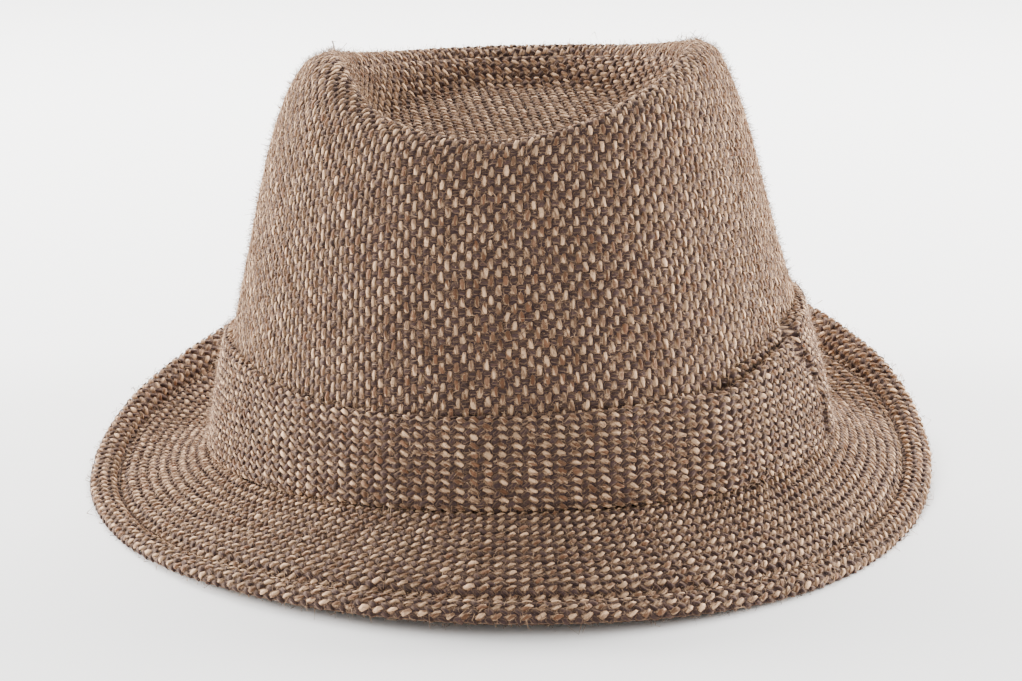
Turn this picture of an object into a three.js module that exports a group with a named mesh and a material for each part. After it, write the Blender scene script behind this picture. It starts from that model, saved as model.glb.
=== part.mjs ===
// A trilby of tweed cloth, standing by itself on a table.
// Millimetres, +Z up. The front of the hat faces -Y and the wearer's left is +X.
// Angles run round the hat in degrees, from its front toward +X.
import * as THREE from "three";

// Sizes of the hat. The head opening is measured inside the crown, at the break where the brim
// turns away from it.
const headHalfWidth = 84.4;
const headHalfLength = 98.4;
const crownHeight = 112;
const brimWidth = 40;
const crownCloth = 2;
const bandCloth = 2.2;
const brimCloth = 2.8;
const gap = 0.4;

// The brim's turned edge, and the groove that its row of stitches pulls in.
const stitchInset = 8;
const stitchWidth = 1.6;
const stitchDepth = 0.7;
const edgeRound = 1.4;

// The angles of the three places where the hat stands: two on its front edge and one on the back
// of the break. The cloth there gives a little, and lies flat on the table.
const leftFoot = 52;
const rightFoot = -74;
const backFoot = -172;
const settle = 0.8;

// The band runs once round the crown, climbs over its own start and ends on top of it.
const bandStart = 38;
const bandClimb = 16;
const bandEndLower = 0.055;

// The seam between the crown side and the tip, as a share of the way into the dent.
const seamInset = 0.07;
const seamWidth = 0.006;

const crownHalfWidth = headHalfWidth + crownCloth;
const crownHalfLength = headHalfLength + crownCloth;
const bandReach = gap + bandCloth + gap;

// Level sections of the crown side, from the break up to the lip. Height is a share of the lip's
// height, side and shift are shares of the crown's half width, front and back are shares of its
// half length, and square makes the oval fuller.
const sections = [
  { height: 0.000, side: 1.000, front: 1.000, back: 1.000, shift: 0.000, square: 0.00 },
  { height: 0.160, side: 0.963, front: 0.978, back: 0.985, shift: 0.000, square: 0.03 },
  { height: 0.320, side: 0.920, front: 0.947, back: 0.960, shift: 0.000, square: 0.06 },
  { height: 0.480, side: 0.868, front: 0.914, back: 0.932, shift: -0.004, square: 0.09 },
  { height: 0.640, side: 0.820, front: 0.881, back: 0.902, shift: -0.005, square: 0.12 },
  { height: 0.780, side: 0.775, front: 0.850, back: 0.872, shift: -0.003, square: 0.15 },
  { height: 0.880, side: 0.731, front: 0.828, back: 0.846, shift: 0.001, square: 0.17 },
  { height: 0.945, side: 0.690, front: 0.812, back: 0.822, shift: 0.006, square: 0.18 },
  { height: 0.982, side: 0.652, front: 0.799, back: 0.800, shift: 0.012, square: 0.19 },
  { height: 1.000, side: 0.596, front: 0.780, back: 0.760, shift: 0.018, square: 0.20 },
];

// What changes round the hat. Lip is a share of the crown height. The others are shares of the
// brim width: the break's rise, the brim's reach, its bend halfway, its edge, and the band's height.
const around = [
  { angle: 0, lip: 0.834, rise: 0.000, reach: 0.940, bend: -0.215, edge: -0.440, band: 0.600 },
  { angle: 30, lip: 0.926, rise: -0.022, reach: 0.880, bend: -0.235, edge: -0.465, band: 0.680 },
  { angle: 60, lip: 1.002, rise: 0.045, reach: 0.740, bend: -0.260, edge: -0.465, band: 0.870 },
  { angle: 90, lip: 0.985, rise: 0.070, reach: 0.715, bend: -0.210, edge: -0.220, band: 0.915 },
  { angle: 120, lip: 0.962, rise: 0.040, reach: 0.780, bend: -0.080, edge: 0.255, band: 0.850 },
  { angle: 150, lip: 0.930, rise: 0.000, reach: 0.880, bend: 0.020, edge: 0.660, band: 0.740 },
  { angle: 180, lip: 0.922, rise: -0.010, reach: 0.910, bend: 0.040, edge: 0.700, band: 0.700 },
  { angle: 210, lip: 0.930, rise: 0.000, reach: 0.880, bend: 0.020, edge: 0.600, band: 0.720 },
  { angle: 240, lip: 0.958, rise: 0.010, reach: 0.850, bend: -0.080, edge: 0.215, band: 0.780 },
  { angle: 270, lip: 0.985, rise: 0.000, reach: 0.830, bend: -0.190, edge: -0.130, band: 0.810 },
  { angle: 300, lip: 0.988, rise: 0.000, reach: 0.835, bend: -0.220, edge: -0.300, band: 0.740 },
  { angle: 330, lip: 0.872, rise: 0.000, reach: 0.880, bend: -0.210, edge: -0.380, band: 0.620 },
];

// The dent: a share of the way in from the lip to its middle, and a share of the drop.
const dent = [
  { inset: 0.00, drop: 0.000 },
  { inset: 0.03, drop: 0.030 },
  { inset: 0.07, drop: 0.160 },
  { inset: 0.12, drop: 0.460 },
  { inset: 0.17, drop: 0.810 },
  { inset: 0.21, drop: 0.950 },
  { inset: 0.27, drop: 0.990 },
  { inset: 0.50, drop: 1.000 },
  { inset: 1.00, drop: 1.000 },
];

// The dent's floor, front to back: a share of the lip's reach, and a share of the crown height.
const floor = [
  { along: -1.0, level: 0.765 },
  { along: -0.6, level: 0.735 },
  { along: 0.0, level: 0.745 },
  { along: 0.4, level: 0.785 },
  { along: 0.7, level: 0.812 },
  { along: 1.0, level: 0.815 },
];

// The band's slanted end, notched near its top: a share of its height, and where it stops.
const bandEnd = [
  { height: 0.00, angle: 66.0 },
  { height: 0.20, angle: 66.0 },
  { height: 0.40, angle: 65.0 },
  { height: 0.55, angle: 63.5 },
  { height: 0.70, angle: 60.3 },
  { height: 0.86, angle: 56.0 },
  { height: 1.00, angle: 57.2 },
];

// Where the cloth is divided. The last rows of the band and the brim are rounded: left is the
// share of the cloth's thickness that is left there.
const columns = 60;
const bandColumns = 72;
const wallRows = [0, 0.15, 0.3, 0.45, 0.6, 0.73, 0.85, 0.93, 0.965, 0.985, 1];
const turnRows = [0.02, 0.042, seamInset];
const tipRows = [seamInset + seamWidth, 0.1, 0.135, 0.17, 0.21, 0.27, 0.4, 0.65];
const bandRows = [
  { height: 0.00, left: 0.50 },
  { height: 0.04, left: 1.00 },
  { height: 0.40, left: 1.00 },
  { height: 0.70, left: 1.00 },
  { height: 0.86, left: 1.00 },
  { height: 0.97, left: 1.00 },
  { height: 1.00, left: 0.50 },
];
const slopeRows = [0.12, 0.37, 0.63, 0.88];
const edgeRows = [
  { inside: 1.0, left: 1.00 },
  { inside: 0.4, left: 0.82 },
  { inside: 0.0, left: 0.42 },
];

// The steps over which the way out of a face is measured. They run up the wall, into the dent, and
// from the brim's edge inward.
const angleStep = 1;
const shareStep = 0.004;
const reachStep = -0.5;

const radians = THREE.MathUtils.degToRad;
const mix = THREE.MathUtils.lerp;
const upward = new THREE.Vector3(0, 0, 1);

// A smooth curve through two values, with a slope at each.
function curve(from, to, slopeFrom, slopeTo, t) {
  const rest = 1 - t;
  return rest * rest * (1 + 2 * t) * from
    + t * t * (3 - 2 * t) * to
    + t * rest * (rest * slopeFrom - t * slopeTo);
}

// A column of a table, read smoothly between its rows.
function along(rows, key, column, at) {
  const last = rows.length - 2;
  let k = 0;
  while (k < last && at > rows[k + 1][key]) k += 1;
  const span = (i) => rows[i + 1][key] - rows[i][key];
  const slope = (i) => (rows[i + 1][column] - rows[i][column]) / span(i);
  const slopeFrom = k === 0 ? slope(0) : (slope(k - 1) + slope(k)) / 2;
  const slopeTo = k === last ? slope(last) : (slope(k) + slope(k + 1)) / 2;
  const t = (at - rows[k][key]) / span(k);
  return curve(rows[k][column], rows[k + 1][column], slopeFrom * span(k), slopeTo * span(k), t);
}

// A column of the table round the hat, read smoothly at any angle.
function roundHat(column, angle) {
  const place = THREE.MathUtils.euclideanModulo(angle, 360) / (360 / around.length);
  const k = Math.floor(place);
  const value = (i) => around[(k + i + around.length) % around.length][column];
  return curve(value(0), value(1), (value(1) - value(-1)) / 2, (value(2) - value(0)) / 2, place - k);
}

const breakRise = (angle) => roundHat("rise", angle) * brimWidth;
const lipHeight = (angle) => roundHat("lip", angle) * crownHeight;
const brimReach = (angle) => roundHat("reach", angle) * brimWidth;

function outward(angle) {
  return new THREE.Vector3(Math.sin(radians(angle)), -Math.cos(radians(angle)), 0);
}

function oval(angle, side, front, back, square) {
  const way = outward(angle);
  const power = 2 + square;
  const sideways = Math.abs(way.x / side) ** power;
  const lengthways = Math.abs(way.y / (way.y < 0 ? front : back)) ** power;
  return way.multiplyScalar((sideways + lengthways) ** (-1 / power));
}

// The outer face of the crown side, at a share of the way up from the break to the lip.
function wallFace(angle, height) {
  const at = (column) => along(sections, "height", column, height);
  const side = at("side") * crownHalfWidth;
  const point = oval(angle, side, at("front") * crownHalfLength, at("back") * crownHalfLength, at("square"));
  point.x += at("shift") * crownHalfWidth;
  point.z = mix(breakRise(angle), lipHeight(angle), height);
  return point;
}

// The upper face of the dent, at a share of the way in from the lip to its middle.
function dentFace(angle, inset) {
  const lip = sections[sections.length - 1];
  const rim = wallFace(angle, 1);
  const point = rim.clone().lerp(new THREE.Vector3(lip.shift * crownHalfWidth, 0, rim.z), inset);
  const reach = (point.y < 0 ? lip.front : lip.back) * crownHalfLength;
  const low = along(floor, "along", "level", point.y / reach) * crownHeight;
  point.z = mix(rim.z, low, along(dent, "inset", "drop", inset));
  return point;
}

// The crown as one face: up the wall for shares below 0, over the lip at 0, then into the dent.
function crownFace(angle, share) {
  return share < 0 ? wallFace(angle, 1 + share) : dentFace(angle, share);
}

// The upper face of the brim, a distance out from the break. It lies level inside the break.
function brimFace(angle, out) {
  const share = Math.max(out, 0) / brimReach(angle);
  const bend = roundHat("bend", angle) * brimWidth;
  const edge = roundHat("edge", angle) * brimWidth;
  const point = oval(angle, crownHalfWidth, crownHalfLength, crownHalfLength, 0);
  point.addScaledVector(outward(angle), bandReach + out);
  point.z = breakRise(angle) - gap + 2 * share * (1 - share) * bend + share * share * edge;
  return point;
}

// The way out of a face.
function wayOut(face, angle, at, step) {
  const round = face(angle + angleStep, at).sub(face(angle - angleStep, at));
  const across = face(angle, at + step).sub(face(angle, at - step));
  return round.cross(across).normalize();
}

// The table, under the three places where the hat stands.
function edgeFoot(angle) {
  const out = brimReach(angle) - edgeRound;
  return brimFace(angle, out).addScaledVector(wayOut(brimFace, angle, out, reachStep), -brimCloth);
}
const table = new THREE.Plane().setFromCoplanarPoints(
  edgeFoot(leftFoot),
  brimFace(backFoot, 0).addScaledVector(upward, -brimCloth),
  edgeFoot(rightFoot),
);
const stand = new THREE.Quaternion().setFromUnitVectors(table.normal, upward);
const tableLevel = settle - table.constant;

// Moves a point from the break's level to where it is when the hat stands on the table.
function stood(point) {
  point.applyQuaternion(stand);
  point.z -= tableLevel;
  return point;
}

// A closed piece of cloth. Each column is a list of pairs of points, one on each face. The columns
// join up round the hat, or stop at two ends, and may meet in a middle pair.
function clothPiece(name, cloth, { ring = true, middle = null } = {}) {
  const rows = cloth[0].length;
  const top = rows - 1;
  const centre = cloth.length * rows * 2;
  const corner = (column, row, face) => ((column % cloth.length) * rows + row) * 2 + face;
  const pairs = middle ? [...cloth.flat(), middle] : cloth.flat();
  const points = pairs.flatMap(([outer, inner]) => [...outer.toArray(), ...inner.toArray()]);
  const faces = [];
  const four = (a, b, c, d) => faces.push(a, b, c, a, c, d);
  for (let c = 0; c < (ring ? cloth.length : cloth.length - 1); c += 1) {
    for (let r = 0; r < top; r += 1) {
      four(corner(c, r, 0), corner(c + 1, r, 0), corner(c + 1, r + 1, 0), corner(c, r + 1, 0));
      four(corner(c, r, 1), corner(c, r + 1, 1), corner(c + 1, r + 1, 1), corner(c + 1, r, 1));
    }
    four(corner(c, 0, 0), corner(c, 0, 1), corner(c + 1, 0, 1), corner(c + 1, 0, 0));
    if (middle) {
      faces.push(corner(c, top, 0), corner(c + 1, top, 0), centre);
      faces.push(corner(c + 1, top, 1), corner(c, top, 1), centre + 1);
    } else {
      four(corner(c, top, 0), corner(c + 1, top, 0), corner(c + 1, top, 1), corner(c, top, 1));
    }
  }
  const end = cloth.length - 1;
  for (let r = 0; r < top && !ring; r += 1) {
    four(corner(0, r, 0), corner(0, r + 1, 0), corner(0, r + 1, 1), corner(0, r, 1));
    four(corner(end, r, 0), corner(end, r, 1), corner(end, r + 1, 1), corner(end, r + 1, 0));
  }
  const geometry = new THREE.BufferGeometry();
  geometry.setAttribute("position", new THREE.Float32BufferAttribute(points, 3));
  geometry.setIndex(faces);
  geometry.computeVertexNormals();
  const mesh = new THREE.Mesh(geometry, new THREE.MeshStandardMaterial({
    color: 0x83695a,
    roughness: 0.95,
    metalness: 0,
  }));
  mesh.name = name;
  return mesh;
}

const angles = Array.from({ length: columns }, (_, i) => (360 * i) / columns);

// A pair of points through the crown's cloth.
function crownPair(angle, share) {
  const outer = crownFace(angle, share);
  const inner = outer.clone().addScaledVector(wayOut(crownFace, angle, share, shareStep), -crownCloth);
  return [stood(outer), stood(inner)];
}

// The crown side, which turns over its lip into the dent, and the tip pressed in below it.
function crownSide() {
  const shares = [shareStep - 1, ...wallRows.slice(1).map((height) => height - 1), ...turnRows];
  return clothPiece("crown_side", angles.map((angle) => shares.map((share) => crownPair(angle, share))));
}

function crownTip() {
  const middle = [dentFace(0, 1), dentFace(0, 1).addScaledVector(upward, -crownCloth)].map(stood);
  return clothPiece(
    "crown_tip",
    angles.map((angle) => tipRows.map((inset) => crownPair(angle, inset))),
    { middle },
  );
}

// The brim. Its underside lies flat where it meets the table.
function brimPair(angle, out, dip, under) {
  const top = brimFace(angle, out);
  const way = out > 0 ? wayOut(brimFace, angle, out, reachStep) : upward;
  const low = stood(top.clone().addScaledVector(way, under - brimCloth));
  low.z = Math.max(low.z, 0);
  return [stood(top.addScaledVector(way, -dip)), low];
}

function brim() {
  return clothPiece("brim", angles.map((angle) => {
    const inside = -bandReach - crownCloth;
    const groove = brimReach(angle) - stitchInset;
    const slope = slopeRows.map((share) => share * (groove - stitchWidth));
    const level = [inside, inside / 2, 0, ...slope, groove - stitchWidth / 2];
    const edge = edgeRows.map((row) => {
      const thinner = (brimCloth * (1 - row.left)) / 2;
      return brimPair(angle, brimReach(angle) - row.inside * edgeRound, thinner, thinner);
    });
    return [
      ...level.map((out) => brimPair(angle, out, 0, 0)),
      brimPair(angle, groove, stitchDepth, 0),
      brimPair(angle, groove + stitchWidth / 2, 0, 0),
      ...edge,
    ].reverse();
  }));
}

// The band. Its angle runs past a full turn, and over says how far it has climbed onto its start.
function bandPair(angle, row) {
  const lap = 360 + bandStart;
  const over = THREE.MathUtils.smoothstep(angle, lap - bandClimb, lap - angleStep);
  const tall = (roundHat("band", angle) - over * bandEndLower) * brimWidth;
  const height = (tall * row.height) / (lipHeight(angle) - breakRise(angle));
  const inner = wallFace(angle, height).addScaledVector(outward(angle), gap + over * (bandCloth + gap));
  const outer = inner.clone().addScaledVector(outward(angle), bandCloth * row.left);
  return [stood(outer), stood(inner)];
}

function hatBand() {
  const longest = bandEnd[0].angle;
  const strip = Array.from({ length: bandColumns + 1 }, (_, i) => {
    const angle = mix(bandStart, 360 + longest, i / bandColumns);
    const past = Math.max(0, angle - 360 - bandStart) / (longest - bandStart);
    return bandRows.map((row) => {
      const early = longest - along(bandEnd, "height", "angle", row.height);
      return bandPair(angle - past * early, row);
    });
  });
  return clothPiece("hat_band", strip, { ring: false });
}

const trilby = new THREE.Group();
trilby.name = "trilby";
trilby.add(crownSide(), crownTip(), brim(), hatBand());

// The origin is under the middle of the hat, on the table.
const middle = new THREE.Box3().setFromObject(trilby).getCenter(new THREE.Vector3());
for (const piece of trilby.children) piece.geometry.translate(-middle.x, -middle.y, 0);

export default trilby;
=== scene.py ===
# A tweed trilby, dressed over its CAD frame: each piece of cloth is woven from its own yarns.
# The sizes below are in millimetres, and meshes are made in metres. The front of the hat faces -Y
# and the wearer's left is +X. Angles run round the hat in degrees, from its front toward +X.
import math

import bpy
import numpy as np
from bpy.props import FloatProperty, IntProperty, PointerProperty, StringProperty
from mathutils import Matrix, Vector


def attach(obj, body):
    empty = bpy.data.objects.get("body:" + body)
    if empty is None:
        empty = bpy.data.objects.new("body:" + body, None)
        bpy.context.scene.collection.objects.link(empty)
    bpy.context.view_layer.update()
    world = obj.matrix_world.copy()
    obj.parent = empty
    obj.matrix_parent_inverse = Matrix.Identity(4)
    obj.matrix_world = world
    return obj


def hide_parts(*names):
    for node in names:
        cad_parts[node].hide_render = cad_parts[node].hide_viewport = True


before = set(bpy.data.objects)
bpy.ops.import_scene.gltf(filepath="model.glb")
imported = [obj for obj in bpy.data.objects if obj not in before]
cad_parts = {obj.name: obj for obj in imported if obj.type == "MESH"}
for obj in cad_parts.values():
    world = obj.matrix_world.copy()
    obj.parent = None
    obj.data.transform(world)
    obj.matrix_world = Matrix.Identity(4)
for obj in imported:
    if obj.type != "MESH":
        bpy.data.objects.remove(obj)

bl_info = {
    "name": "Tweed trilby",
    "version": (1, 0, 0),
    "blender": (4, 5, 0),
    "location": "View3D > Sidebar > Trilby",
    "description": "Weaves a tweed trilby, yarn by yarn, over its CAD frame",
    "category": "Object",
}

MM = 0.001

# The hat's own sizes.
HEAD_HALF_WIDTH = 84.4
HEAD_HALF_LENGTH = 98.4
CROWN_HEIGHT = 112.0
BRIM_WIDTH = 40.0
CROWN_CLOTH = 2.0
BAND_CLOTH = 2.2
BRIM_CLOTH = 2.8
GAP = 0.4
EDGE_ROUND = 1.4
BAND_ROUND = 1.2

# The brim's stitched groove. Its underside has only a share of the depth, and the cloth puffs up
# between the groove and the edge.
STITCH_INSET = 8.0
STITCH_WIDTH = 1.6
STITCH_DEPTH = 1.6
STITCH_DEPTH_UNDER = 0.2
STITCH_PITCH = 3.1
STITCH_HALF_SIZE = (1.25, 0.24, 0.24)
STITCH_RISE = 0.3
STITCH_TWIST = 5.0
EDGE_PUFF = 0.35
EDGE_PUFF_WIDTH = 2.4

# The seam round the crown's tip. All but its depth are shares of the way in from the lip.
SEAM_INSET = 0.073
SEAM_WIDTH = 0.018
SEAM_DEPTH = 0.5
SEAM_OPEN = 0.002

# The angles where the hat rests, how far its weight presses the cloth flat there, and how far the
# flattened cloth is kept over the table.
FEET = {"left": 52.0, "right": -74.0, "back": -172.0}
SETTLE = 0.8
CLEAR_OF_TABLE = 0.02

# The band starts at an angle, and climbs onto its own start over some degrees. Its upper layer is
# lower by a share of the brim's width, and keeps a little of its thickness at its very end. Past
# that end, the lower layer is tucked in by a share of its thickness, and then swells out. Its yarns
# stay hidden for a way past the end, which is longer at the band's edges, so that its bare dark
# weft and ground there are a painted shadow of the end that lies over it.
BAND_START = 38.0
BAND_CLIMB = 16.0
BAND_END_LOWER = 0.055
BAND_END_LEAST = 0.04
LAP_TUCK = 2.5
LAP_TUCK_DEPTH = 0.55
LAP_PUFF = 2.8
LAP_PUFF_START = 1.0
LAP_PUFF_RISE = 4.0
LAP_PUFF_LENGTH = 20.0
LAP_SHADOW_STRIP = 2.4
LAP_SHADOW_STRIP_BOW = 0.35

# The yarns' steps on straight grain, and how deep the closed cloth lies under them.
WARP_PITCH = 2.0
WEFT_PITCH = 2.38
GROUND_DEPTH = 0.22

CROWN_HALF_WIDTH = HEAD_HALF_WIDTH + CROWN_CLOTH
CROWN_HALF_LENGTH = HEAD_HALF_LENGTH + CROWN_CLOTH
BAND_REACH = 2 * GAP + BAND_CLOTH
LAP = 360 + BAND_START

# Level sections of the crown side. Height is a share of the lip's height, side and shift are
# shares of the crown's half width, front and back are shares of its half length.
SECTIONS = {
    "height": (0.000, 0.160, 0.320, 0.480, 0.640, 0.780, 0.880, 0.945, 0.982, 1.000),
    "side": (1.000, 0.963, 0.920, 0.868, 0.820, 0.775, 0.731, 0.690, 0.652, 0.596),
    "front": (1.000, 0.978, 0.947, 0.914, 0.881, 0.850, 0.828, 0.812, 0.799, 0.780),
    "back": (1.000, 0.985, 0.960, 0.932, 0.902, 0.872, 0.846, 0.822, 0.800, 0.760),
    "shift": (0.000, 0.000, 0.000, -0.004, -0.005, -0.003, 0.001, 0.006, 0.012, 0.018),
    "square": (0.00, 0.03, 0.06, 0.09, 0.12, 0.15, 0.17, 0.18, 0.19, 0.20),
}

# What changes round the hat, every 30 degrees. Lip is a share of the crown height. The others are
# shares of the brim width.
AROUND = {
    "lip": (0.834, 0.926, 1.002, 0.985, 0.962, 0.930, 0.922, 0.930, 0.958, 0.985, 0.988, 0.872),
    "rise": (0.000, -0.022, 0.045, 0.070, 0.040, 0.000, -0.010, 0.000, 0.010, 0.000, 0.000, 0.000),
    "reach": (0.940, 0.880, 0.740, 0.715, 0.780, 0.880, 0.910, 0.880, 0.850, 0.830, 0.835, 0.880),
    "bend": (
        -0.215, -0.235, -0.260, -0.210, -0.080, 0.020, 0.040, 0.020, -0.080, -0.190, -0.220, -0.210,
    ),
    "edge": (
        -0.440, -0.465, -0.465, -0.220, 0.255, 0.660, 0.700, 0.600, 0.215, -0.130, -0.300, -0.380,
    ),
    "band": (0.600, 0.680, 0.870, 0.915, 0.850, 0.740, 0.700, 0.720, 0.780, 0.810, 0.740, 0.620),
}

# The dent: a share of the way in from the lip to its middle, and a share of the drop.
DENT = {
    "inset": (0.00, 0.03, 0.07, 0.12, 0.17, 0.21, 0.27, 0.50, 1.00),
    "drop": (0.000, 0.030, 0.160, 0.460, 0.810, 0.950, 0.990, 1.000, 1.000),
}

# The dent's floor, front to back: a share of the lip's reach, and of the crown height.
FLOOR = {
    "along": (-1.0, -0.6, 0.0, 0.4, 0.7, 1.0),
    "level": (0.765, 0.735, 0.745, 0.785, 0.812, 0.815),
}

# The band's slanted end, notched near its top.
BAND_END = {
    "height": (0.00, 0.20, 0.40, 0.55, 0.70, 0.86, 1.00),
    "angle": (66.0, 66.0, 65.0, 63.5, 60.3, 56.0, 57.2),
}

# The crown side is cut as part of a flat ring, because it leans in. This is the radius of its
# longer, lower edge. Steaming pulled the cloth out of square, so that its warps and its wefts now
# lie as on wider rings.
CROWN_CUT_RADIUS = 390.0
WARP_RADIUS = 800.0
WEFT_RADIUS = 420.0

# The camera as the photograph has it, set against the level of the break.
CAMERA = {
    "elevation": 10.5,
    "roll": -1.6,
    "distance": 950.0,
    "focal": 3315.0,
    "target": (-1.5, 0.0, 26.0),
}
PHOTO_WIDTH = 1022

ANGLE_STEP = 1.0
SHARE_STEP = 0.004
REACH_STEP = -0.5
SKIN_STEP = -0.02

# How finely a cut is sampled: over its face, round the hat and along its length.
SHARE_SAMPLES = 240
ANGLE_SAMPLES = 361
LENGTH_SAMPLES = 400


def mix(a, b, t):
    return a + (b - a) * t


def bell(distance, width):
    return np.exp(-((distance / width) ** 2))


def curve(start, end, slope_start, slope_end, t):
    """A smooth curve through two values, with a slope at each."""
    rest = 1 - t
    return (
        rest * rest * (1 + 2 * t) * start
        + t * t * (3 - 2 * t) * end
        + t * rest * (rest * slope_start - t * slope_end)
    )


def along(table, key, column, at):
    """A column of a table, read smoothly between its rows."""
    x, y = np.array(table[key]), np.array(table[column])
    rise = np.diff(y) / np.diff(x)
    slope = np.concatenate([rise[:1], (rise[:-1] + rise[1:]) / 2, rise[-1:]])
    k = np.clip(np.searchsorted(x, at) - 1, 0, len(x) - 2)
    span = x[k + 1] - x[k]
    return curve(y[k], y[k + 1], slope[k] * span, slope[k + 1] * span, (at - x[k]) / span)


def round_hat(column, angle):
    """A column of the table round the hat, read smoothly at any angle."""
    y = np.array(AROUND[column])
    place = np.mod(angle, 360) / (360 / len(y))
    k = np.floor(place).astype(int)
    before, start, end, after = (y[(k + i) % len(y)] for i in (-1, 0, 1, 2))
    return curve(start, end, (end - before) / 2, (after - start) / 2, place - k)


def outward(angle):
    """The level way out from the hat's middle."""
    turn = np.radians(angle)
    return np.stack([np.sin(turn), -np.cos(turn), 0 * turn], -1)


def oval(angle, side, front, back, square):
    """A point of a level oval, which square makes fuller at its corners."""
    way = outward(angle)
    power = 2 + square
    sideways = np.abs(way[..., 0] / side) ** power
    lengthways = np.abs(way[..., 1] / np.where(way[..., 1] < 0, front, back)) ** power
    return way * ((sideways + lengthways) ** (-1 / power))[..., None]


def break_rise(angle):
    return round_hat("rise", angle) * BRIM_WIDTH


def lip_height(angle):
    return round_hat("lip", angle) * CROWN_HEIGHT


def brim_reach(angle):
    return round_hat("reach", angle) * BRIM_WIDTH


def wall_face(angle, height):
    """The outer face of the crown side, at a share of the way up from the break to the lip."""
    side, front, back, shift, square = (
        along(SECTIONS, "height", column, height)
        for column in ("side", "front", "back", "shift", "square")
    )
    point = oval(
        angle,
        side * CROWN_HALF_WIDTH,
        front * CROWN_HALF_LENGTH,
        back * CROWN_HALF_LENGTH,
        square,
    )
    point[..., 0] += shift * CROWN_HALF_WIDTH
    point[..., 2] = mix(break_rise(angle), lip_height(angle), height)
    return point


def dent_face(angle, inset):
    """The upper face of the dent, at a share of the way in from the lip to its middle."""
    rim = wall_face(angle, np.ones_like(inset))
    middle = np.zeros_like(rim)
    middle[..., 0] = SECTIONS["shift"][-1] * CROWN_HALF_WIDTH
    middle[..., 2] = rim[..., 2]
    point = mix(rim, middle, inset[..., None])
    reach = np.where(point[..., 1] < 0, SECTIONS["front"][-1], SECTIONS["back"][-1])
    low = along(FLOOR, "along", "level", point[..., 1] / (reach * CROWN_HALF_LENGTH))
    point[..., 2] = mix(rim[..., 2], low * CROWN_HEIGHT, along(DENT, "inset", "drop", inset))
    return point


def crown_face(angle, share):
    """The crown as one face: up the wall below 0, over the lip at 0, then into the dent."""
    angle, share = np.broadcast_arrays(np.asarray(angle, float), np.asarray(share, float))
    wall = wall_face(angle, 1 + np.minimum(share, 0))
    return np.where((share < 0)[..., None], wall, dent_face(angle, np.maximum(share, 0)))


def brim_face(angle, out):
    """The upper face of the brim, a distance out from the break."""
    share = np.maximum(out, 0) / brim_reach(angle)
    bend = round_hat("bend", angle) * BRIM_WIDTH
    edge = round_hat("edge", angle) * BRIM_WIDTH
    level = np.zeros_like(share)
    point = oval(angle, CROWN_HALF_WIDTH, CROWN_HALF_LENGTH, CROWN_HALF_LENGTH, level)
    point = point + outward(angle) * (BAND_REACH + out)[..., None]
    point[..., 2] = break_rise(angle) - GAP + 2 * share * (1 - share) * bend + share**2 * edge
    return point


def way_out(face, angle, at, step):
    """The way out of a face, at a right angle to it."""
    across = face(angle, at + step) - face(angle, at - step)
    way = np.cross(face(angle + ANGLE_STEP, at) - face(angle - ANGLE_STEP, at), across)
    return way / np.linalg.norm(way, axis=-1, keepdims=True)


def stand_on_table():
    """The turn and the drop that bring the hat from its break's level down onto the table."""
    foot = {}
    for name in ("left", "right"):
        angle = np.array(FEET[name])
        out = brim_reach(angle) - EDGE_ROUND
        foot[name] = brim_face(angle, out) - BRIM_CLOTH * way_out(brim_face, angle, out, REACH_STEP)
    foot["back"] = brim_face(np.array(FEET["back"]), np.array(0.0)) - (0, 0, BRIM_CLOTH)
    up = np.cross(foot["right"] - foot["back"], foot["left"] - foot["back"])
    up = up / np.linalg.norm(up)
    turn = np.array(Vector(up).rotation_difference(Vector((0, 0, 1))).to_matrix())
    return turn, SETTLE + up @ foot["back"]


TURN, TABLE_LEVEL = stand_on_table()


def stood(point):
    """Moves points from the break's level to where they are when the hat stands on the table."""
    return point @ TURN.T - (0, 0, TABLE_LEVEL)


# The CAD brim's corners at its rounded edge: shares of the rounding in from the edge, and of the
# cloth's thickness. It has a row of them every so many degrees.
EDGE_CORNERS = ((1, 0), (1, 1), (0.4, 0.09), (0.4, 0.91), (0, 0.29), (0, 0.71))
EDGE_ANGLE = 6.0


def hat_middle():
    """The middle of the brim's outline, which is the frame's origin in X and Y."""
    angle = np.arange(0, 360, EDGE_ANGLE)
    edge = brim_reach(angle)
    way = way_out(brim_face, angle, edge, REACH_STEP)
    spots = [
        stood(brim_face(angle, edge - inside * EDGE_ROUND) - way * BRIM_CLOTH * share)
        for inside, share in EDGE_CORNERS
    ]
    spots = np.concatenate(spots)
    return (spots.min(0) + spots.max(0)) / 2 * (1, 1, 0)


MIDDLE = hat_middle()


def settled(point):
    """Points on the hat in the frame's own place, with the cloth flattened where it rests."""
    point = stood(point) - MIDDLE
    point[..., 2] = np.maximum(point[..., 2], CLEAR_OF_TABLE)
    return point


def crown_skin(angle, share):
    """The crown's outer face, drawn in along the seam round its tip."""
    angle, share = np.broadcast_arrays(np.asarray(angle, float), np.asarray(share, float))
    point = crown_face(angle, share)
    point[..., 2] -= SEAM_DEPTH * bell(share - SEAM_INSET, SEAM_WIDTH)
    return point


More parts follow.
